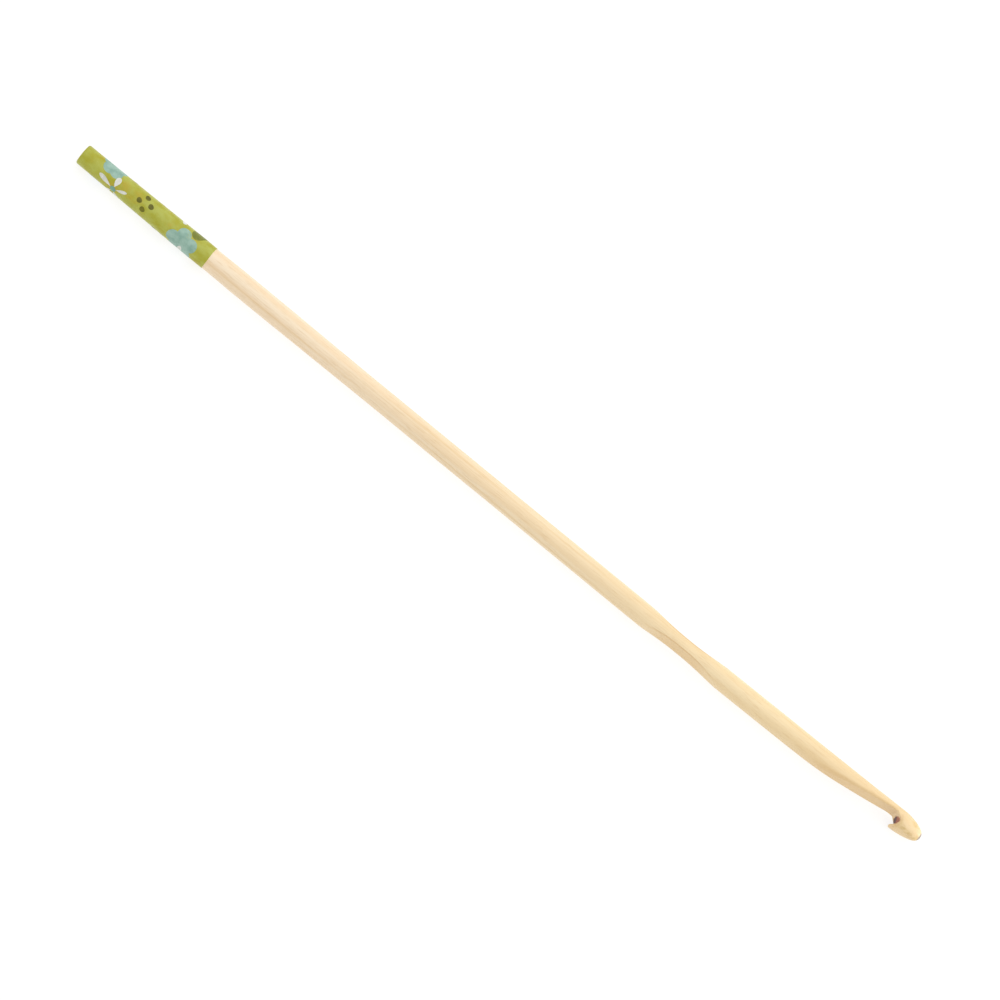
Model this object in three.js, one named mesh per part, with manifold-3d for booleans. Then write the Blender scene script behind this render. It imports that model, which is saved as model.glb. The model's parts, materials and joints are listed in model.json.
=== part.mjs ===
// A one-piece bamboo crochet hook, 3.25 mm in the shaft and 150 mm long, with a printed film
// shrunk onto its butt end.
//
// Units are millimetres and +Z is up. The hook lies on its side on Z = 0 with its tip towards +X
// and its throat facing -Y, and the origin is under the middle of its box.
//
// The stick is one carved piece of bamboo. It is held in two solids, the shank and the hook head,
// which meet face to face across the thin neck, so that each is a simple shape around the throat.

import * as THREE from "three";
import { mergeVertices } from "three/addons/utils/BufferGeometryUtils.js";
import Module from "manifold-3d";

// ---- Driving dimensions. "Station" is the distance from the butt end along the stick.

const LENGTH = 150;
const SHAFT_RADIUS = 1.625; // the stitch gauge: 3.25 mm across
const HEAD_RADIUS = 1.66; // the head is a little fuller than the shaft ...
const HEAD_START = 140; // ... and grows from here ...
const HEAD_FULL = 144.5; // ... to here
const SIDES = 48; // facets round the stick

const BUTT_RADIUS = 1.5; // the handle swells from here at the butt end ...
const FILM_END_RADIUS = 1.69; // ... to here where the film ends ...
const SWELL_RADIUS = 1.73; // ... and here at its fullest, then eases back to the shaft radius
const SWELL_STATION = 29;
const SWELL_END = 54;
const BUTT_ROUNDING = 0.3;

const NOSE_LENGTH = 3.5; // from the tip to the widest part of the head
const NOSE_FULLNESS = 1.5; // exponents of the nose's profile
const NOSE_BLUNTNESS = 0.4;

const REST_STATION = 107.8; // thumb rest: middle of the two opposite scoops
const REST_THICKNESS = 1.8; // left between the scoops
const REST_FLAT = 1.2; // length of the flat floor of each scoop
const REST_SWEEP = 27; // radius of the ramp at each end of a scoop

const NECK_START = 128.6; // where the throat side begins to slope in
const NECK_BLEND = 5.6; // length of the soft start of that slope
const NECK_END = 144.4; // where the slope reaches the throat
const THROAT_DEPTH = 0.44; // the throat's floor lies this far past the stick's centre line
const THROAT_END = 145.25; // end of the flat floor
const NOTCH_APEX = 146.35; // deepest point of the undercut behind the lip
const NOTCH_APEX_SIDE = 0.5; // its distance from the centre line, on the lip's side
const NOTCH_ROUNDING = 0.16;
const LIP_INNER = [145.4, 1.4]; // the lip's blunt end, as [station, distance from the centre line]
const LIP_OUTER = [145.8, 1.7];
const CHIN_START = [145, 1.68]; // the narrow flat under the head runs through these two points
const CHIN_END = [149.5, 1.02];

const BOW_TIP = 0.35; // the bamboo's natural warp, towards +Y at both ends
const BOW_TIP_START = 114; // it grows from here ...
const BOW_TIP_END = 146; // ... to here
const BOW_TIP_POWER = 1.2;
const BOW_BUTT = 0.14;
const BOW_BUTT_START = 50;
const BOW_BUTT_POWER = 2.5;

const FILM_LENGTH = 22.8;
const FILM_THICKNESS = 0.045;
const FILM_GAP = 0.015; // clearance between film and bamboo
const FILM_WRAP = 0.5; // share of the butt's rounding that the film covers

const BUTT_STEPS = 4; // facets along the butt's rounding
const SPLIT_STATION = 144; // where the shank's solid ends and the head's begins
const SPLIT_GAP = 0.02;
const CLEAR = 1.5; // how far a cutter reaches outside the stick

// ---- Materials

const bamboo = new THREE.MeshStandardMaterial({ color: 0xf0d9ae, roughness: 0.42, metalness: 0 });
const printedFilm = new THREE.MeshStandardMaterial({ color: 0xb4b84e, roughness: 0.3, metalness: 0 });

// ---- Profile of the turned stick

const easeInOut = (t) => t * t * (3 - 2 * t);

// The stick's radii up to the nose, as [station, radius], eased from each to the next.
const stickRadii = [
  [0, BUTT_RADIUS],
  [FILM_LENGTH, FILM_END_RADIUS],
  [SWELL_STATION, SWELL_RADIUS],
  [SWELL_END, SHAFT_RADIUS],
  [HEAD_START, SHAFT_RADIUS],
  [HEAD_FULL, HEAD_RADIUS],
];

function noseRadius(fromTip) {
  const fullness = 1 - Math.pow(1 - fromTip / NOSE_LENGTH, NOSE_FULLNESS);
  return HEAD_RADIUS * Math.pow(fullness, NOSE_BLUNTNESS);
}

// Radius of the uncut stick at a station, without the rounding of its butt end.
function stickRadius(station) {
  const next = stickRadii.findIndex(([end]) => end > station);
  if (next > 0) {
    const [from, fromRadius] = stickRadii[next - 1];
    const [to, toRadius] = stickRadii[next];
    return THREE.MathUtils.lerp(fromRadius, toRadius, easeInOut((station - from) / (to - from)));
  }
  const fromTip = Math.max(0, LENGTH - station);
  return fromTip < NOSE_LENGTH ? noseRadius(fromTip) : HEAD_RADIUS;
}

// The outer share `wrap` of the butt end's rounding, offset outwards, as points
// [radius, station] up to the side.
function buttRounding(offset, wrap, steps) {
  const centreRadius = stickRadius(BUTT_ROUNDING) - BUTT_ROUNDING;
  const reach = BUTT_ROUNDING + offset;
  return Array.from({ length: steps + 1 }, (_, i) => {
    const angle = (1 - wrap * (1 - i / steps)) * (Math.PI / 2);
    const radius = centreRadius + reach * Math.sin(angle);
    return new THREE.Vector2(radius, BUTT_ROUNDING - reach * Math.cos(angle));
  });
}

// Stations of the rings along the covered end, shared by bamboo and film so that their facets
// stay parallel.
const coveredStations = [2, 4, 7, 11, 15, 19, FILM_LENGTH];

function sidePoints(stations, offset) {
  return stations.map((station) => new THREE.Vector2(stickRadius(station) + offset, station));
}

function stickProfile() {
  const handle = [25, 27, SWELL_STATION, 33, 37, 41, 45, 49, SWELL_END];
  const shaft = [66, 78, 90, 100, 110, 115, 120, 124, 128, 131, 134, 137];
  const neck = [HEAD_START, 142.25, HEAD_FULL, LENGTH - NOSE_LENGTH];
  const noseSteps = 9;
  const nose = Array.from({ length: noseSteps - 1 }, (_, i) => {
    const along = (i + 1) / noseSteps;
    return LENGTH - NOSE_LENGTH * Math.pow(1 - along, 2);
  });
  return [
    new THREE.Vector2(0, 0),
    ...buttRounding(0, 1, BUTT_STEPS),
    ...sidePoints([...coveredStations, ...handle, ...shaft, ...neck, ...nose], 0),
    new THREE.Vector2(0, LENGTH),
  ];
}

// Turns a profile of [radius, station] about the stick's axis, which then lies along +X.
// A facet, not an edge, is lowest, as on the flat that the hook rests on.
function turned(profile) {
  const geometry = new THREE.LatheGeometry(profile, SIDES, Math.PI / SIDES);
  return geometry.rotateZ(-Math.PI / 2);
}

// ---- Booleans

const wasm = await Module();
wasm.setup();

function solidOf(geometry) {
  const bare = geometry.clone();
  bare.deleteAttribute("normal");
  bare.deleteAttribute("uv");
  const merged = mergeVertices(bare, 1e-4);
  return new wasm.Manifold(
    new wasm.Mesh({
      numProp: 3,
      vertProperties: merged.attributes.position.array,
      triVerts: new Uint32Array(merged.index.array),
    }),
  );
}

function geometryOf(solid) {
  const mesh = solid.getMesh();
  const geometry = new THREE.BufferGeometry();
  geometry.setAttribute("position", new THREE.BufferAttribute(mesh.vertProperties, 3));
  geometry.setIndex(new THREE.BufferAttribute(mesh.triVerts, 1));
  geometry.computeVertexNormals();
  return geometry;
}

// A cutter across the whole stick, from an outline of [station, distance from the centre line]
// drawn on the +Y side. With side = -1 it cuts the throat's side, -Y.
function crossCutter(outline, side) {
  const depth = 2 * (SHAFT_RADIUS + CLEAR);
  const settings = { depth, bevelEnabled: false, curveSegments: 10 };
  const geometry = new THREE.ExtrudeGeometry(outline, settings);
  geometry.translate(0, 0, -depth / 2);
  if (side < 0) geometry.rotateX(Math.PI);
  return solidOf(geometry);
}

function box(from, to) {
  const height = 2 * (SHAFT_RADIUS + CLEAR);
  return solidOf(new THREE.BoxGeometry(to - from, height, height).translate((from + to) / 2, 0, 0));
}

// ---- Cuts in the stick

// One scoop of the thumb rest: a flat floor with a circular ramp at each end.
function scoopOutline() {
  const floor = REST_THICKNESS / 2;
  const outside = SHAFT_RADIUS + CLEAR;
  const rise = Math.acos(1 - (outside - floor) / REST_SWEEP);
  const outline = new THREE.Shape();
  const left = REST_STATION - REST_FLAT / 2;
  const right = REST_STATION + REST_FLAT / 2;
  outline.moveTo(right, floor);
  outline.absarc(right, floor + REST_SWEEP, REST_SWEEP, -Math.PI / 2, -Math.PI / 2 + rise, false);
  outline.lineTo(left - REST_SWEEP * Math.sin(rise), outside);
  outline.absarc(left, floor + REST_SWEEP, REST_SWEEP, -Math.PI / 2 - rise, -Math.PI / 2, false);
  outline.closePath();
  return outline;
}

// The slope of the neck, the throat's floor, the undercut and the lip's blunt end, as one outline.
function throatOutline() {
  const outside = SHAFT_RADIUS + CLEAR;
  const blendEnd = NECK_START + NECK_BLEND;
  const slope = (SHAFT_RADIUS + THROAT_DEPTH) / (NECK_END - NECK_START - NECK_BLEND / 2);
  const atBlendEnd = SHAFT_RADIUS - (slope * NECK_BLEND) / 2;
  const outline = new THREE.Shape();
  outline.moveTo(NECK_START, SHAFT_RADIUS);
  outline.quadraticCurveTo(NECK_START + NECK_BLEND / 2, SHAFT_RADIUS, blendEnd, atBlendEnd);
  outline.lineTo(NECK_END, -THROAT_DEPTH);
  outline.lineTo(THROAT_END, -THROAT_DEPTH);
  outline.lineTo(NOTCH_APEX - 2 * NOTCH_ROUNDING, NOTCH_APEX_SIDE - 2 * NOTCH_ROUNDING);
  outline.quadraticCurveTo(
    NOTCH_APEX + NOTCH_ROUNDING,
    NOTCH_APEX_SIDE,
    NOTCH_APEX - 2 * NOTCH_ROUNDING,
    NOTCH_APEX_SIDE + 2 * NOTCH_ROUNDING,
  );
  outline.lineTo(...LIP_INNER);
  outline.lineTo(...LIP_OUTER);
  outline.lineTo(LIP_OUTER[0], outside);
  outline.lineTo(NECK_START, outside);
  outline.closePath();
  return outline;
}

function chinOutline() {
  const outside = SHAFT_RADIUS + CLEAR;
  const pastTip = LENGTH + CLEAR;
  const outline = new THREE.Shape();
  outline.moveTo(CHIN_START[0], outside);
  outline.lineTo(...CHIN_START);
  outline.lineTo(...CHIN_END);
  outline.lineTo(pastTip, CHIN_END[1]);
  outline.lineTo(pastTip, outside);
  outline.closePath();
  return outline;
}

// ---- The natural warp of the bamboo, put into the finished shapes

function bow(station) {
  if (station > BOW_TIP_START) {
    const along = Math.min(1, (station - BOW_TIP_START) / (BOW_TIP_END - BOW_TIP_START));
    return BOW_TIP * Math.pow(along, BOW_TIP_POWER);
  }
  if (station < BOW_BUTT_START) {
    return BOW_BUTT * Math.pow((BOW_BUTT_START - station) / BOW_BUTT_START, BOW_BUTT_POWER);
  }
  return 0;
}

function warped(geometry) {
  const position = geometry.attributes.position;
  for (let i = 0; i < position.count; i++) {
    position.setY(i, position.getY(i) + bow(THREE.MathUtils.clamp(position.getX(i), 0, LENGTH)));
  }
  geometry.computeVertexNormals();
  return geometry;
}

// ---- Pieces

function carvedStick() {
  return solidOf(turned(stickProfile()))
    .subtract(crossCutter(scoopOutline(), 1))
    .subtract(crossCutter(scoopOutline(), -1))
    .subtract(crossCutter(throatOutline(), -1))
    .subtract(crossCutter(chinOutline(), -1));
}

// The printed film: a thin tube that is drawn in over the outer part of the butt's rounding.
function filmGeometry() {
  const layer = (offset) => [
    ...buttRounding(offset, FILM_WRAP, BUTT_STEPS / 2),
    ...sidePoints(coveredStations, offset),
  ];
  const outer = layer(FILM_GAP + FILM_THICKNESS);
  const inner = layer(FILM_GAP).reverse();
  return turned([...outer, ...inner, outer[0].clone()]);
}

function piece(name, geometry, material) {
  const mesh = new THREE.Mesh(warped(geometry), material);
  mesh.name = name;
  return mesh;
}

const stick = carvedStick();
const shank = stick.intersect(box(-CLEAR, SPLIT_STATION - SPLIT_GAP));
const head = stick.intersect(box(SPLIT_STATION, LENGTH + CLEAR));

const hook = new THREE.Group();
hook.add(
  piece("hook_shank", geometryOf(shank), bamboo),
  piece("hook_head", geometryOf(head), bamboo),
  piece("printed_sleeve", filmGeometry(), printedFilm),
);

// Stand the hook on Z = 0 with the origin under the middle of its box.
const bounds = new THREE.Box3().setFromObject(hook);
const middle = bounds.getCenter(new THREE.Vector3());
hook.position.set(-middle.x, -middle.y, -bounds.min.z);

export default hook;
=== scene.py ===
"""A one-piece bamboo crochet hook with a printed film round its butt end, on a white studio floor.

The bamboo is one unbroken surface, meshed from a distance function, and the film and its print are
thin shells wrapped round it. Shapes are worked out in millimetres in the stick's own coordinates:
`s`, the station from the butt end; `y`, away from the throat; and `z`, up. The stick's slight warp
is added as the points are placed in the CAD frame.
"""

import json
import math

import bpy
import numpy as np
from mathutils import Matrix, Vector


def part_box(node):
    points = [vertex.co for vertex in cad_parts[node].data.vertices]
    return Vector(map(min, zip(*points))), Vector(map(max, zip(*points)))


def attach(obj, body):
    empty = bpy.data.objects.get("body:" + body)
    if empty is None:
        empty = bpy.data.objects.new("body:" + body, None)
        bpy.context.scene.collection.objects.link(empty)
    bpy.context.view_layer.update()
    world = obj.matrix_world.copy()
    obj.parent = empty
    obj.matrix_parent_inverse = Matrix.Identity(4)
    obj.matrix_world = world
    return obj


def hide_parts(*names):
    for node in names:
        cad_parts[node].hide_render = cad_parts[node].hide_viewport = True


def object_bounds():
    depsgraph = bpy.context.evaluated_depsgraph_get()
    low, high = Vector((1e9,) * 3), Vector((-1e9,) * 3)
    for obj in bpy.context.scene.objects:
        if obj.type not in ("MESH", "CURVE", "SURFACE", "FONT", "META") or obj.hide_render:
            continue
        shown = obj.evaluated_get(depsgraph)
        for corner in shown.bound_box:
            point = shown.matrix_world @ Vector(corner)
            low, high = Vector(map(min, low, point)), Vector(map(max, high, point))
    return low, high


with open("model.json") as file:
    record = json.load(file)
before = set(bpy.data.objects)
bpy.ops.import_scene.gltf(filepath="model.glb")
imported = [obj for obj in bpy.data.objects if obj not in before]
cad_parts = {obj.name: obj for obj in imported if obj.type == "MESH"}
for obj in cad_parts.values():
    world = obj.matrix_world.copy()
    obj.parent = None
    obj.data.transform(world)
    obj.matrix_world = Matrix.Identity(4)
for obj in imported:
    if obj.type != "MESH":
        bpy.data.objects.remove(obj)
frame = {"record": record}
cad_low, cad_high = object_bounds()

# ---- Where the stick lies, from the CAD frame

MM = 0.001
mounts = {mount["name"]: mount["pos_m"] for mount in frame["record"]["mounts"]}
shank_low, shank_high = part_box("hook_shank")
AXIS_ORIGIN = Vector((
    shank_low.x,
    (mounts["thumb_rest_front"][1] + mounts["thumb_rest_back"][1]) / 2,
    (shank_low.z + shank_high.z) / 2,
))
LENGTH = (cad_high.x - shank_low.x) / MM
REST_STATION = (mounts["thumb_rest_front"][0] - shank_low.x) / MM
REST_THICKNESS = (mounts["thumb_rest_back"][1] - mounts["thumb_rest_front"][1]) / MM
FILM_LENGTH = (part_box("printed_sleeve")[1].x - shank_low.x) / MM

# ---- The stick's dimensions in millimetres, as in the CAD part

SHAFT_RADIUS = 1.625
STICK_STATIONS = (0, FILM_LENGTH, 29, 54, 140, 144.5)
STICK_RADII = (1.5, 1.69, 1.73, SHAFT_RADIUS, SHAFT_RADIUS, 1.66)
BUTT_ROUNDING = 0.3
NOSE_LENGTH = 3.5
NOSE_FULLNESS = 1.5
NOSE_BLUNTNESS = 0.4
REST_FLAT = 1.2
REST_SWEEP = 27
BOW_TIP = (0.35, 114, 146, 1.2)  # warp away from the throat: amount, start, end and power
BOW_BUTT = (0.14, 50, 0, 2.5)

# How far the carved edges are sanded over: (station, radius).
EDGE_ROUNDING = ((112, 0.12), (128, 0.42), (144.2, 0.42), (145.6, 0.1))
CHIN_ROUNDING = 0.2
LIP_CURVE = 0.3  # how much the lip draws back from its middle to its sides, per square millimetre

# Side outline of what is cut away under the neck and in the throat: (station, distance from the
# centre line towards the throat, length over which the corner is softened).
THROAT_CORNERS = (
    (130.6, 1.75, 3.4),
    (144.4, -0.44, 0.6),
    (145.25, -0.44, 0.14),
    (146.36, 0.5, 0.42),
    (145.36, 1.4, 0.08),
    (145.76, 1.7, 0.1),
    (145.76, 4, 0),
    (120, 4, 0),
    (120, 1.75, 0),
)
CHIN = ((145, 1.68), (149.5, 1.02))  # two points of the narrow flat under the head

# Where the notch wall is darkened by a scorch mark together with painted shade in its depth.
SCORCH_AND_SHADE_CENTRE = (146.06, -0.3, -0.15)
SCORCH_AND_SHADE_REACHES = (0.68, 1.05, 1.75)
HEAD_STAINS = ((147.1, -0.87, 1.16), (148.5, -0.93, 0.94))

FILM_GAP = 0.015
FILM_THICKNESS = 0.045
FILM_RADIUS = FILM_GAP + FILM_THICKNESS  # beyond the bamboo's surface
PETAL_START = 0.42  # of a printed petal, from its flower's middle


def bow(s):
    """The bamboo's natural warp away from the throat, at both ends."""
    return sum(
        amount * np.clip((s - start) / (end - start), 0, 1) ** power
        for amount, start, end, power in (BOW_TIP, BOW_BUTT)
    )


def placed(s, y, z):
    """Points of the stick's own coordinates as an array of points in the CAD frame, in metres."""
    s, y, z = np.broadcast_arrays(s, y, z)
    points = np.stack([s, y + bow(s), z], axis=-1) * MM
    return points + np.array(AXIS_ORIGIN)


# ---- The bamboo as a distance function


def ease(t):
    return t * t * (3 - 2 * t)


def stick_radius(s):
    radius = np.full(np.shape(s), STICK_RADII[0])
    for i, end in enumerate(STICK_STATIONS[1:]):
        start = STICK_STATIONS[i]
        growth = STICK_RADII[i + 1] - STICK_RADII[i]
        radius = radius + growth * ease(np.clip((s - start) / (end - start), 0, 1))
    return radius


def unevenness(s, angle):
    """Slow waves that a hand-finished stick has, in millimetres."""
    broad = np.sin(0.21 * s + 2 * angle) + np.sin(0.093 * s + angle + 4)
    return 0.004 * (broad + np.sin(0.37 * s - 3 * angle + 1.3))


def turned_stick(s, y, z):
    """Distance to the uncut stick, whose nose is a superellipse."""
    power = 1 / NOSE_BLUNTNESS
    across = np.hypot(y, z)
    radius = stick_radius(s) + unevenness(s, np.arctan2(z, y))
    into_nose = np.clip((s - LENGTH + NOSE_LENGTH) / NOSE_LENGTH, 0, None)
    level = (across / radius) ** power + into_nose**NOSE_FULLNESS - 1
    slope_across = power * (across / radius) ** (power - 1) / radius
    slope_along = NOSE_FULLNESS * into_nose ** (NOSE_FULLNESS - 1) / NOSE_LENGTH
    return level / np.maximum(np.hypot(slope_across, slope_along), 0.1)


def softened(corners, steps=8):
    """A closed outline with each corner (x, y, reach) rounded off over its reach."""
    points = []
    for i, (x, y, reach) in enumerate(corners):
        corner = np.array((x, y))
        before = np.array(corners[i - 1][:2]) - corner
        after = np.array(corners[(i + 1) % len(corners)][:2]) - corner
        if reach == 0:
            points.append(corner)
            continue
        start = corner + before / np.linalg.norm(before) * reach
        end = corner + after / np.linalg.norm(after) * reach
        for t in np.linspace(0, 1, steps + 1):
            points.append((1 - t) ** 2 * start + 2 * t * (1 - t) * corner + t * t * end)
    return np.array(points)


def outline_distance(outline, x, y):
    """Distance to a closed outline, negative inside it."""
    nearest = np.full(np.broadcast(x, y).shape, np.inf)
    inside = np.zeros(nearest.shape, bool)
    for (ax, ay), (bx, by) in zip(outline, np.roll(outline, -1, axis=0)):
        ex, ey = bx - ax, by - ay
        t = np.clip(((x - ax) * ex + (y - ay) * ey) / (ex * ex + ey * ey), 0, 1)
        nearest = np.minimum(nearest, np.hypot(x - ax - t * ex, y - ay - t * ey))
        if ay != by:
            inside ^= ((ay > y) != (by > y)) & (x < ax + (y - ay) * ex / ey)
    return np.where(inside, -nearest, nearest)


THROAT_OUTLINE = softened(THROAT_CORNERS)


def beyond_thumb_rest(s, y):
    """How far a point is outside the two opposite scoops' surfaces."""
    along = np.clip(np.abs(s - REST_STATION) - REST_FLAT / 2, 0, REST_SWEEP)
    return np.abs(y) - REST_THICKNESS / 2 - REST_SWEEP + np.sqrt(REST_SWEEP**2 - along**2)


def beyond_chin(s, y):
    (s0, n0), (s1, n1) = CHIN
    run, rise = s1 - s0, n1 - n0
    return ((-y - n0) * run - (s - s0) * rise) / math.hypot(run, rise)


def both(a, b, rounding):
    """Distance to what two shapes share, with the edge between them rounded off."""
    over_a, over_b = np.maximum(a + rounding, 0), np.maximum(b + rounding, 0)
    return np.minimum(np.maximum(a, b), -rounding) + np.hypot(over_a, over_b)


def inside_throat(s, y, z):
    """How far a point is inside what is cut away in the throat, whose lip is rounded sideways."""
    drawn_back = LIP_CURVE * z**2 * ease(np.clip((-y - 0.6) / 0.7, 0, 1))
    return -outline_distance(THROAT_OUTLINE, s - drawn_back, -y)


def bamboo_distance(s, y, z):
    rounding = np.interp(s, *np.transpose(EDGE_ROUNDING))
    distance = both(turned_stick(s, y, z), -s, BUTT_ROUNDING)
    distance = both(distance, beyond_thumb_rest(s, y), rounding)
    distance = both(distance, inside_throat(s, y, z), rounding)
    return both(distance, beyond_chin(s, y), CHIN_ROUNDING)


def cut_tone_and_shade_shares(s, y, z):
    """How much of a point's surface is cut across the fibres in the thumb rest and the neck, and
    how much of it is the edge of the thumb rest. Both fade where a cut runs out. The first share
    carries the cut faces' own deeper tone together with painted shade on these throat-side faces;
    the second carries a painted shade line along the thumb rest's edge."""
    rest = ease(np.clip(1.2 + beyond_thumb_rest(s, y) / 0.2, 0, 1))
    rest_fade = ease(np.clip((6.6 - np.abs(s - REST_STATION)) / 4.6, 0, 1))
    neck = ease(np.clip(1.2 + inside_throat(s, y, z) / 0.55, 0, 1))
    neck_fade = ease(np.clip(np.minimum((s - 127) / 8, 145.7 - s), 0, 1))
    return np.maximum(rest * rest_fade, neck * neck_fade), 4 * rest * (1 - rest) * rest_fade


# ---- Meshing a distance function


def surface_net(distance, xs, ys, zs):
    """The zero surface on a grid: a point for each cell that it crosses, a quad for each edge."""
    inside = distance(xs[:, None, None], ys[None, :, None], zs[None, None, :]) < 0
    cell = [n - 1 for n in inside.shape]
    corners = sum(
        inside[i:i + cell[0], j:j + cell[1], k:k + cell[2]].astype(int)
        for i in (0, 1) for j in (0, 1) for k in (0, 1)
    )
    crossed = (corners > 0) & (corners < 8)
    index = np.full(crossed.shape, -1)
    index[crossed] = np.arange(crossed.sum())
    middles = [(a[1:] + a[:-1]) / 2 for a in (xs, ys, zs)]
    points = np.stack([m[i] for m, i in zip(middles, np.nonzero(crossed))], axis=1)
    quads = []
    for axis in range(3):
        turned, cells = np.moveaxis(inside, axis, 0), np.moveaxis(index, axis, 0)
        leaving = turned[:-1, 1:-1, 1:-1] & ~turned[1:, 1:-1, 1:-1]
        entering = ~turned[:-1, 1:-1, 1:-1] & turned[1:, 1:-1, 1:-1]
        around = [cells[:, :-1, :-1], cells[:, 1:, :-1], cells[:, 1:, 1:], cells[:, :-1, 1:]]
        outward = np.stack([c[leaving] for c in around], axis=1)
        inward = np.stack([c[entering] for c in around[::-1]], axis=1)
        if axis == 1:
            outward, inward = outward[:, ::-1], inward[:, ::-1]
        quads += [outward, inward]
    return points, np.concatenate(quads)


def pulled_to_surface(distance, points, rounds=4, step=0.004):
    """The points moved onto the zero surface along its slope."""
    for _ in range(rounds):
        value = distance(*points.T)
        slope = np.stack([
            (distance(*(points + shift).T) - distance(*(points - shift).T)) / (2 * step)
            for shift in np.eye(3) * step
        ], axis=1)
        steepness = np.maximum((slope**2).sum(axis=1), 0.05)
        move = (value / steepness)[:, None] * slope
        points = points - np.clip(move, -0.06, 0.06)
    return points


def evened(points, quads):
    """Each point moved to the mean of its neighbours."""
    total, count = np.zeros_like(points), np.zeros(len(points))
    for a, b in ((0, 1), (1, 2), (2, 3), (3, 0)):
        for one, other in ((quads[:, a], quads[:, b]), (quads[:, b], quads[:, a])):
            np.add.at(total, one, points[other])
            np.add.at(count, one, 1)
    return total / count[:, None]


def stations(*stretches):
    """Stations from (end, spacing) pairs, finer where there is more shape."""
    values = [-0.21]
    for end, spacing in stretches:
        count = max(1, round((end - values[-1]) / spacing))
        values += list(np.linspace(values[-1], end, count + 1)[1:])
    return np.array(values)


def bamboo_mesh():
    along = stations((0.63, 0.07), (98, 0.5), (118, 0.25), (126, 0.4), (142, 0.2), (150.28, 0.072))
    reach, spacing = 1.84, 0.08
    across = np.arange(-reach, reach + spacing / 2, spacing) + spacing / 4
    points, quads = surface_net(bamboo_distance, along, across, across)
    points = pulled_to_surface(bamboo_distance, points)
    for _ in range(3):
        points = pulled_to_surface(bamboo_distance, evened(points, quads), rounds=2)
    return points, quads


# ---- Making objects


def make_piece(name, points, faces, material):
    """A smooth mesh piece of the hook from points in the CAD frame."""
    mesh = bpy.data.meshes.new(name)
    mesh.from_pydata(np.asarray(points).tolist(), [], [tuple(int(i) for i in face) for face in faces])
    mesh.shade_smooth()
    mesh.set_sharp_from_angle(angle=math.radians(60))
    mesh.materials.append(material)
    piece = bpy.data.objects.new(name, mesh)
    bpy.context.scene.collection.objects.link(piece)
    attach(piece, "root")
    return piece


# ---- Materials


def colour(red, green, blue):
    """A linear colour from display values of 0 to 255."""
    channels = [v / 255 for v in (red, green, blue)]
    return tuple(v / 12.92 if v <= 0.04045 else ((v + 0.055) / 1.055) ** 2.4 for v in channels) + (1.0,)


class Look:
    """A material's node tree, with short calls for the nodes used here."""

    def __init__(self, name, **constants):
        self.material = bpy.data.materials.new(name)
        self.material.use_nodes = True
        self.tree = self.material.node_tree
        self.shader = self.tree.nodes["Principled BSDF"]
        for socket, value in constants.items():
            self.shader.inputs[socket.replace("_", " ")].default_value = value
        self.place = self.add("ShaderNodeTexCoord").outputs["Object"]

    def add(self, kind, inputs=None, **settings):
        node = self.tree.nodes.new(kind)
        for name, value in settings.items():
            setattr(node, name, value)
        for socket, value in (inputs or {}).items():
            self.put(value, node.inputs[socket])
        return node

    def put(self, value, socket):
        if isinstance(value, bpy.types.NodeSocket):
            self.tree.links.new(value, socket)
        else:
            socket.default_value = value

    def scaled(self, along, across, shift=(0, 0, 0)):
        """Object coordinates with so many units to the millimetre along and across the stick."""
        scale = (along / MM, across / MM, across / MM)
        mapping = self.add("ShaderNodeMapping", {"Vector": self.place, "Scale": scale, "Location": shift})
        return mapping.outputs["Vector"]

    def noise(self, vector, detail=2.0, roughness=0.5, distortion=0.0):
        inputs = {"Vector": vector, "Scale": 1.0, "Detail": detail, "Roughness": roughness, "Distortion": distortion}
        return self.add("ShaderNodeTexNoise", inputs).outputs["Fac"]

    def remap(self, value, low, high, to_low=0.0, to_high=1.0, smooth=True):
        kind = "SMOOTHSTEP" if smooth else "LINEAR"
        inputs = {"Value": value, "From Min": low, "From Max": high, "To Min": to_low, "To Max": to_high}
        return self.add("ShaderNodeMapRange", inputs, interpolation_type=kind).outputs["Result"]

    def maths(self, operation, a, b):
        return self.add("ShaderNodeMath", {0: a, 1: b}, operation=operation).outputs["Value"]

    def vector(self, operation, a, b):
        node = self.add("ShaderNodeVectorMath", {0: a, 1: b}, operation=operation)
        return node.outputs["Vector"]

    def mix(self, factor, a, b):
        node = self.add("ShaderNodeMix", data_type="RGBA")
        for value, socket in zip((factor, a, b), (node.inputs[0], node.inputs[6], node.inputs[7])):
            self.put(value, socket)
        return node.outputs[2]

    def bump(self, height, strength, distance_mm):
        inputs = {"Height": height, "Strength": strength, "Distance": distance_mm * MM}
        return self.add("ShaderNodeBump", inputs).outputs["Normal"]

    def finish(self, base, roughness=None, normal=None):
        self.put(base, self.shader.inputs["Base Color"])
        if roughness is not None:
            self.put(roughness, self.shader.inputs["Roughness"])
        if normal is not None:
            self.put(normal, self.shader.inputs["Normal"])
        return self.material


def nearness(look, centre, reaches, ragged=0.0):
    """1 at a point of the stick's own coordinates, 0 beyond the reaches along each axis."""
    offset = look.vector("SUBTRACT", look.place, tuple(placed(*centre)))
    unit = look.vector("MULTIPLY", offset, tuple(1 / (reach * MM) for reach in reaches))
    distance = look.add("ShaderNodeVectorMath", {0: unit}, operation="LENGTH").outputs["Value"]
    wander = look.remap(look.noise(look.scaled(2.5, 3.0), detail=3.0), 0, 1, -ragged, ragged, False)
    return look.remap(look.maths("ADD", distance, wander), 0.75, 1.05, 1.0, 0.0)


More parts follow.
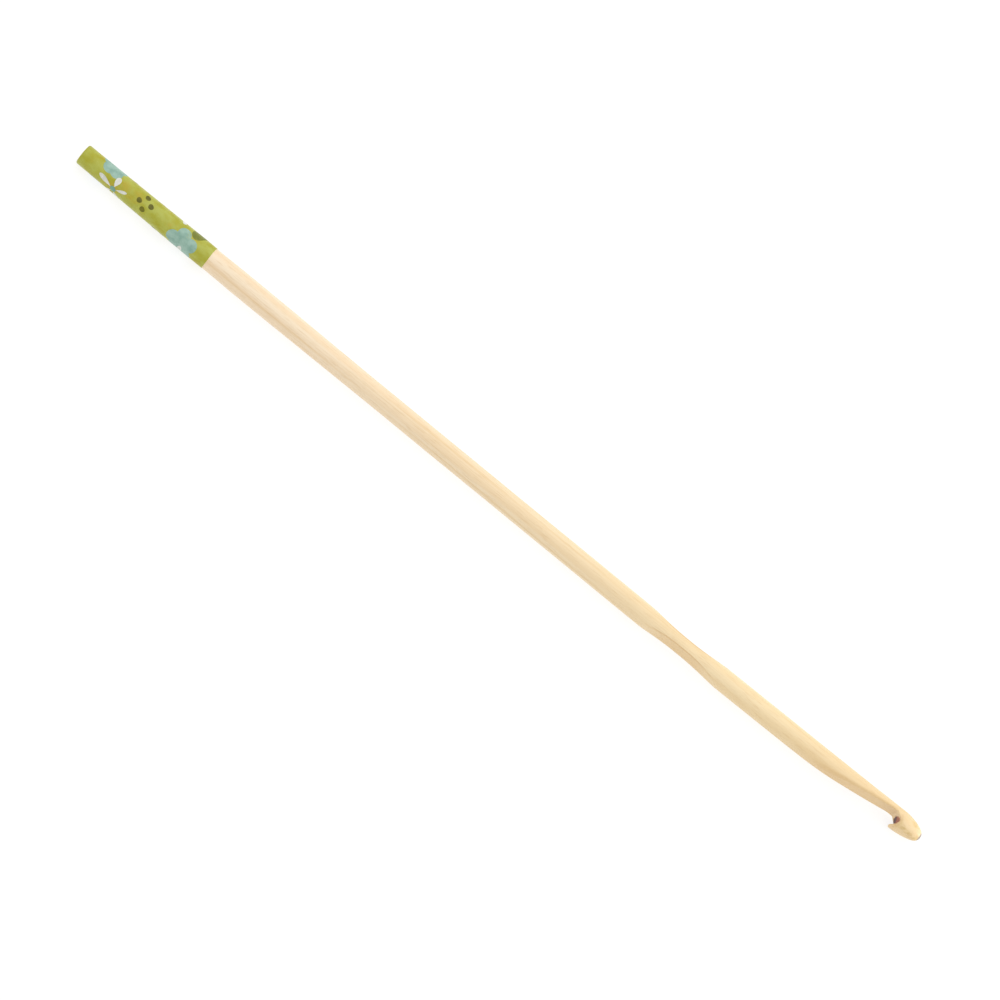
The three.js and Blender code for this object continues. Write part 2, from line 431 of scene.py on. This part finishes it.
def fibres(look):
    """Masks of the fibre bundles, the fine grain and its broad drift, all long along the stick."""
    wander = look.noise(look.scaled(0.012, 0.25))
    drift = look.add("ShaderNodeCombineXYZ", {"X": 0.0, "Y": wander, "Z": wander}).outputs["Vector"]

    def grain(along, across, amount):
        moved = look.vector("MULTIPLY", drift, (0, amount, amount))
        return look.vector("ADD", look.scaled(along, across), moved)

    cells = look.add("ShaderNodeTexVoronoi", {"Vector": grain(0.01, 1.7, 3.0), "Scale": 1.0})
    bundles = look.remap(cells.outputs["Distance"], 0.1, 0.45, 1.0, 0.0)
    fine = look.noise(grain(0.04, 6.0, 5.0), detail=3.0, roughness=0.6)
    broad = look.noise(grain(0.02, 0.9, 1.5))
    return bundles, fine, broad


def scorch_and_painted_shade(look, tone):
    """The wall of the notch behind the lip: a scorch mark together with painted shade, darkest in the notch's depth
    and reddish towards its rim, with a faint warm tan ring round it.
    """
    sides = look.add("ShaderNodeSeparateXYZ", {"Vector": look.place}).outputs
    start = placed(SCORCH_AND_SHADE_CENTRE[0], 0, 0)
    along = look.remap(sides["X"], start[0] - 0.4 * MM, start[0] + 0.25 * MM, smooth=False)
    upward = look.remap(sides["Z"], start[2] - 1.0 * MM, start[2] + 0.9 * MM, smooth=False)
    rim = look.remap(look.maths("ADD", along, upward), 0.5, 1.2)
    # Scorch colour with painted shade: near black in the notch's depth, reddish brown towards the rim.
    burnt_and_shaded = look.mix(rim, colour(76, 16, 10), colour(176, 88, 38))
    scorch_and_shade_halo = nearness(look, SCORCH_AND_SHADE_CENTRE, [1.35 * reach for reach in SCORCH_AND_SHADE_REACHES], 0.3)
    tone = look.mix(look.maths("MULTIPLY", scorch_and_shade_halo, 0.25), tone, colour(206, 158, 104))
    return look.mix(nearness(look, SCORCH_AND_SHADE_CENTRE, SCORCH_AND_SHADE_REACHES, 0.2), tone, burnt_and_shaded)


def bamboo_material():
    """Pale parenchyma with long, golden bundles of fibres that run through the whole stick."""
    look = Look("bamboo", Coat_Weight=0.12, Coat_Roughness=0.3, Coat_IOR=1.45, IOR=1.45)
    bundles, fine, broad = fibres(look)
    flecks = look.noise(look.scaled(0.4, 9.0), detail=2.0, roughness=0.6)
    station = look.add("ShaderNodeSeparateXYZ", {"Vector": look.place}).outputs["X"]
    mellow = look.remap(station, placed(30, 0, 0)[0], placed(140, 0, 0)[0])
    pale = look.mix(mellow, colour(252, 232, 202), colour(250, 227, 182))
    golden = look.mix(mellow, colour(247, 219, 180), colour(242, 212, 158))

    tone = look.mix(look.remap(broad, 0.3, 0.7, 0.0, 0.8), pale, golden)
    strands = look.maths("MULTIPLY", bundles, look.remap(fine, 0.25, 0.65, 0.05, 0.48))
    tone = look.mix(strands, tone, colour(228, 192, 132))
    tone = look.mix(look.remap(fine, 0.5, 0.78, 0.0, 0.3), tone, colour(232, 201, 148))
    tone = look.mix(look.remap(flecks, 0.53, 0.68, 0.0, 0.36), tone, colour(216, 178, 122))

    handled = look.remap(station, placed(120, 0, 0)[0], placed(140, 0, 0)[0], 0.0, 0.4)
    tone = look.mix(handled, tone, colour(233, 198, 148))
    head = look.remap(station, placed(141, 0, 0)[0], placed(146, 0, 0)[0])
    mottle = look.noise(look.scaled(0.55, 0.9), detail=2.0, distortion=0.6)
    stained = look.maths("MULTIPLY", head, look.remap(mottle, 0.46, 0.7, 0.0, 0.45))
    tone = look.mix(stained, tone, colour(212, 182, 108))

    for centre in HEAD_STAINS:
        stain = look.maths("MULTIPLY", nearness(look, centre, (0.5, 0.35, 0.35), 0.35), 0.28)
        tone = look.mix(stain, tone, colour(196, 164, 92))

    # The cut faces get a deeper tan: partly the tone of wood cut across its fibres, partly painted shade on the
    # faces that turn to the throat side, away from the key light.
    cut_tone_and_shade = look.add("ShaderNodeAttribute", attribute_name="cut_tone_and_shade").outputs["Fac"]
    edge = look.add("ShaderNodeAttribute", attribute_name="rest_edge_shade").outputs["Fac"]
    tone = look.mix(look.maths("MULTIPLY", cut_tone_and_shade, 0.42), tone, colour(228, 188, 126))
    # A painted shade line along the thumb rest's edge.
    tone = look.mix(look.maths("MULTIPLY", edge, 0.5), tone, colour(208, 160, 102))
    # Greyer at the very tip of the nose.
    grey_tip = nearness(look, (LENGTH, 0, 0.15), (0.5, 0.8, 0.8), 0.25)
    tone = look.mix(grey_tip, tone, colour(164, 148, 134))
    # The notch wall: a scorch mark plus painted shade in its depth.
    tone = scorch_and_painted_shade(look, tone)

    roughness = look.remap(fine, 0.3, 0.7, 0.42, 0.58, smooth=False)
    relief = look.maths("SUBTRACT", look.maths("MULTIPLY", fine, 0.8), look.maths("MULTIPLY", bundles, 0.35))
    return look.finish(tone, roughness, look.bump(relief, 0.5, 0.02))


def film_material():
    look = Look("printed_film", Coat_Weight=0.05, Coat_Roughness=0.2, IOR=1.45, Specular_IOR_Level=0.4)
    mottle = look.noise(look.scaled(0.5, 0.7), detail=3.0)
    grain = look.noise(look.scaled(3.0, 12.0), detail=2.0)
    warmth = look.noise(look.scaled(0.35, 0.5, (7, 0, 0)), detail=2.0)
    tone = look.mix(look.remap(mottle, 0.3, 0.72), colour(183, 188, 84), colour(171, 168, 40))
    tone = look.mix(look.remap(warmth, 0.55, 0.75, 0.0, 0.6), tone, colour(190, 164, 38))
    tone = look.mix(look.remap(grain, 0.55, 0.8, 0.0, 0.25), tone, colour(152, 154, 44))
    roughness = look.remap(mottle, 0.3, 0.7, 0.3, 0.42, smooth=False)
    return look.finish(tone, roughness, look.bump(grain, 0.25, 0.01))


def ink_material(name, light, dark):
    look = Look(name, Coat_Weight=0.05, Coat_Roughness=0.2, IOR=1.45, Specular_IOR_Level=0.4)
    wash = look.noise(look.scaled(0.9, 0.9), detail=3.0, roughness=0.6)
    speckle = look.noise(look.scaled(9.0, 9.0), detail=1.0)
    tone = look.mix(look.remap(wash, 0.3, 0.7), light, dark)
    roughness = look.remap(speckle, 0.3, 0.7, 0.34, 0.44, smooth=False)
    return look.finish(tone, roughness, look.bump(speckle, 0.15, 0.01))


# ---- Pieces


def bamboo_piece():
    points, quads = bamboo_mesh()
    piece = make_piece("bamboo_hook", placed(*points.T), quads, bamboo_material())
    for name, values in zip(("cut_tone_and_shade", "rest_edge_shade"), cut_tone_and_shade_shares(*points.T)):
        piece.data.attributes.new(name, "FLOAT", "POINT").data.foreach_set("value", values)
    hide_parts("hook_shank", "hook_head")
    return piece


def film_profile():
    """Closed profile of the film as (station, radius), from its drawn-in edge to its free one."""
    def layer(offset, count=60):
        centre = stick_radius(BUTT_ROUNDING) - BUTT_ROUNDING
        angles = np.radians(np.linspace(45, 90, 8))
        reach = BUTT_ROUNDING + offset
        rim = np.stack([BUTT_ROUNDING - reach * np.cos(angles), centre + reach * np.sin(angles)], axis=1)
        side = np.linspace(BUTT_ROUNDING, FILM_LENGTH, count)[1:]
        return np.concatenate([rim, np.stack([side, stick_radius(side) + offset], axis=1)])

    outer, inner = layer(FILM_RADIUS), layer(FILM_GAP)[::-1]
    softened_edge = (outer[-1] + inner[0]) / 2 + np.array((0.012, 0))
    return np.concatenate([outer, [softened_edge], inner])


def film_piece():
    sides = 144
    profile = film_profile()
    angles = np.linspace(0, 2 * math.pi, sides, endpoint=False)
    s = np.repeat(profile[:, :1], sides, axis=1)
    radius = profile[:, 1:] + unevenness(s, angles)
    waver = 0.03 * np.sin(3 * angles + 1) * np.clip((s - FILM_LENGTH + 1.5) / 1.5, 0, 1)
    points = placed(s + waver, radius * np.cos(angles), radius * np.sin(angles)).reshape(-1, 3)
    grid = np.arange(len(points)).reshape(len(profile), sides)
    below, right = np.roll(grid, -1, axis=0), np.roll(grid, -1, axis=1)
    faces = np.stack([grid, right, np.roll(below, -1, axis=1), below], axis=-1).reshape(-1, 4)
    piece = make_piece("printed_film", points, faces, film_material())
    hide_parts("printed_sleeve")
    return piece


# ---- The print: blossoms, petals, dots and leaves. Outlines are in millimetres round a motif's own middle.


def blossom(spread, lobe, turn=math.pi / 2):
    """Five round lobes of one radius whose middles are spread round the blossom's own."""
    angle = np.linspace(0, 2 * math.pi, 100, endpoint=False)
    fifth = 2 * math.pi / 5
    aside = (angle - turn + fifth / 2) % fifth - fifth / 2
    radius = spread * np.cos(aside) + np.sqrt(lobe**2 - (spread * np.sin(aside)) ** 2)
    return radius * np.exp(1j * angle)


def dot(size):
    angle = np.linspace(0, 2 * math.pi, 24, endpoint=False)
    return size * (1 + 0.06 * np.cos(2 * angle + 1) + 0.04 * np.cos(3 * angle)) * np.exp(1j * angle)


def petal(length, width, turn):
    """A teardrop with its narrow end at the motif's middle."""
    angle = np.linspace(0, 2 * math.pi, 36, endpoint=False)
    along = (1 - np.cos(angle)) / 2
    fullness = 1.5 * along**0.8 * (1.15 - 0.45 * along)
    return (along * length - 0.5j * width * np.sin(angle) * fullness) * np.exp(1j * turn)


def leaf(length, width, turn):
    """A pointed leaf with a curved tail."""
    angle = np.linspace(0, 2 * math.pi, 48, endpoint=False)
    along = (1 - np.cos(angle)) / 2
    across = -0.5 * width * np.sin(angle) * (1 - along) ** 0.75 * 1.6
    return (along * length + 1j * (across + 0.12 * length * along**2)) * np.exp(1j * turn)


def ink_patch(outline, s, angle, lift, rings=7):
    """Points and faces of a motif as a thin closed skin on the film at a station and an angle round the stick."""
    middle = outline.mean()
    shares = np.linspace(0, 1, rings + 1)[1:]
    flat = np.concatenate([[middle]] + [middle + (outline - middle) * share for share in shares])
    count = len(outline)
    at_station = s + flat.real
    film_radius = stick_radius(at_station) + FILM_RADIUS

    def skin(height):
        around = math.radians(angle) + flat.imag / (SHAFT_RADIUS + FILM_RADIUS)
        radius = film_radius + unevenness(at_station, np.pi - around) + height
        return placed(at_station, -radius * np.cos(around), radius * np.sin(around))

    faces = []
    for j in range(count):
        k = (j + 1) % count
        faces.append((0, 1 + j, 1 + k))
        for ring in range(rings - 1):
            a = 1 + ring * count
            faces.append((a + j, a + count + j, a + count + k, a + k))
    under = len(flat)
    closed = list(faces)
    closed += [tuple(under + i for i in reversed(face)) for face in faces]
    rim = 1 + (rings - 1) * count
    for j in range(count):
        k = (j + 1) % count
        closed.append((rim + j, under + rim + j, under + rim + k, rim + k))
    return np.concatenate([skin(lift), skin(-0.012)]), closed


def print_piece(name, motifs, material, lift):
    """All motifs of one ink, as (outline, station, angle), in one piece."""
    points, faces = [], []
    for outline, s, angle in motifs:
        patch_points, patch_faces = ink_patch(outline, s, angle, lift)
        start = sum(len(p) for p in points)
        points.append(patch_points)
        faces += [tuple(start + i for i in face) for face in patch_faces]
    return make_piece(name, np.concatenate(points), faces, material)


def flower(s, angle, turn, petals):
    """Petals round a middle, as (degrees from the turn, length, width)."""
    motifs = []
    for degrees, length, width in petals:
        direction = turn + math.radians(degrees)
        outline = petal(length, width, direction) + PETAL_START * np.exp(1j * direction)
        motifs.append((outline, s, angle))
    return motifs


def four_dots(s, angle, turn=0.15, spread=0.95, size=0.4):
    places = [spread * np.exp(1j * (turn + i * math.pi / 2)) for i in range(4)]
    return [(dot(size) + place, s, angle) for place in places]


def print_pieces():
    blossoms = [
        (blossom(1.45, 1.02, turn=1.75), 18.45, 30),
        (blossom(1.02, 1.0), 4.85, 136),
        (blossom(1.2, 0.85, turn=0.2), 12.6, 226),
        (blossom(0.95, 0.75, turn=0.9), 3.6, 292),
    ]
    even = [(72 * i, 1.7, 0.8) for i in range(5)]
    near_flower = [(0, 1.7, 0.95), (75, 2.45, 0.82), (-66, 1.75, 0.55), (150, 1.7, 0.8), (-140, 1.7, 0.8)]
    upward, downward = math.pi / 2, -math.pi / 2
    petals = (
        flower(6.4, 24.5, upward, near_flower)
        + flower(17.1, 198, downward, even)
        + flower(18.7, -50, upward, even)
        + flower(10.6, 278, upward, even)
    )
    middles = [(dot(0.46), 6.4, 24.5), (dot(0.44), 17.1, 198), (dot(0.44), 18.7, -50), (dot(0.4), 10.6, 278)]
    dots = (
        four_dots(11.22, 75.5)
        + four_dots(20.6, 252, turn=0.6)
        + four_dots(8.0, 200, turn=0.3)
        + four_dots(14.6, 312, turn=0.5)
    )
    leaves = [
        (leaf(3.0, 1.5, 0.5), 18.9, 109),
        (leaf(2.6, 1.3, 2.4), 6.3, 232),
        (leaf(2.6, 1.3, -0.7), 13.8, 272),
    ]
    blue = ink_material("ink_blue", colour(162, 194, 178), colour(134, 171, 155))
    white = ink_material("ink_white", colour(230, 230, 222), colour(210, 212, 200))
    teal = ink_material("ink_teal", colour(134, 176, 150), colour(112, 156, 138))
    olive = ink_material("ink_olive", colour(118, 115, 22), colour(92, 90, 12))
    green = ink_material("ink_green", colour(134, 138, 48), colour(108, 116, 36))
    print_piece("print_blossoms", blossoms, blue, 0.010)
    print_piece("print_petals", petals, white, 0.013)
    print_piece("print_centres", middles, teal, 0.016)
    print_piece("print_dots", dots, olive, 0.013)
    print_piece("print_leaves", leaves, green, 0.016)


# ---- Studio


VIEW_ELEVATION = 69  # of the camera above the throat's side
VIEW_ROLL = 39.35  # of the hook below the picture's horizontal
FRAME_WIDTH = 138.72  # millimetres across the picture at the hook
LENS = 200
SENSOR = 36


def add_camera():
    tilt, roll = math.radians(VIEW_ELEVATION), math.radians(VIEW_ROLL)
    along = Vector((1, 0, 0))
    towards_camera = Vector((0, -math.cos(tilt), math.sin(tilt)))
    down = Vector((0, -math.sin(tilt), -math.cos(tilt)))
    right = along * math.cos(roll) - down * math.sin(roll)
    up = -along * math.sin(roll) - down * math.cos(roll)
    target = AXIS_ORIGIN + along * 75.22 * MM + down * 0.335 * MM
    data = bpy.data.cameras.new("camera")
    data.lens = LENS
    data.sensor_width = SENSOR
    data.clip_start, data.clip_end = 0.01, 20
    camera = bpy.data.objects.new("camera", data)
    pose = Matrix((right, up, towards_camera)).transposed().to_4x4()
    pose.translation = target + towards_camera * FRAME_WIDTH * MM * LENS / SENSOR
    camera.matrix_world = pose
    bpy.context.scene.collection.objects.link(camera)
    bpy.context.scene.camera = camera


def add_floor():
    look = Look("floor", Roughness=0.9, Specular_IOR_Level=0.1)
    look.put(0.8, look.shader.inputs["Emission Strength"])
    look.put((1, 1, 1, 1), look.shader.inputs["Emission Color"])
    paper = look.noise(look.scaled(0.4, 0.4), detail=4.0)
    material = look.finish(look.mix(paper, (0.24, 0.24, 0.24, 1), (0.28, 0.28, 0.28, 1)))
    half = 3.0
    mesh = bpy.data.meshes.new("floor")
    mesh.from_pydata([(-half, -half, 0), (half, -half, 0), (half, half, 0), (-half, half, 0)], [], [(0, 1, 2, 3)])
    mesh.materials.append(material)
    floor = bpy.data.objects.new("floor", mesh)
    bpy.context.scene.collection.objects.link(floor)


def add_light(name, direction, distance, size, watts):
    """A square soft box that faces the hook."""
    data = bpy.data.lights.new(name, "AREA")
    data.size = size
    data.energy = watts
    light = bpy.data.objects.new(name, data)
    away = Vector(direction).normalized()
    light.location = away * distance
    light.rotation_mode = "QUATERNION"
    light.rotation_quaternion = away.to_track_quat("Z", "Y")
    bpy.context.scene.collection.objects.link(light)


def add_sun(name, direction, strength, angle):
    """A broad distant light, as from a large window or a big soft box."""
    data = bpy.data.lights.new(name, "SUN")
    data.energy = strength
    data.angle = math.radians(angle)
    light = bpy.data.objects.new(name, data)
    light.rotation_mode = "QUATERNION"
    light.rotation_quaternion = Vector(direction).to_track_quat("Z", "Y")
    bpy.context.scene.collection.objects.link(light)


def add_studio():
    world = bpy.data.worlds.new("studio")
    world.use_nodes = True
    world.node_tree.nodes["Background"].inputs["Color"].default_value = (1, 1, 1, 1)
    world.node_tree.nodes["Background"].inputs["Strength"].default_value = 0.66
    bpy.context.scene.world = world
    bpy.context.scene.view_settings.view_transform = "Standard"
    add_sun("key", (0.15, 0.35, 0.93), 1.06, 90)
    add_light("tip_glint", (0.93, 0.3, 0.12), 0.6, 0.12, 1.3)
    add_floor()
    add_camera()


bamboo_piece()
film_piece()
print_pieces()
add_studio()
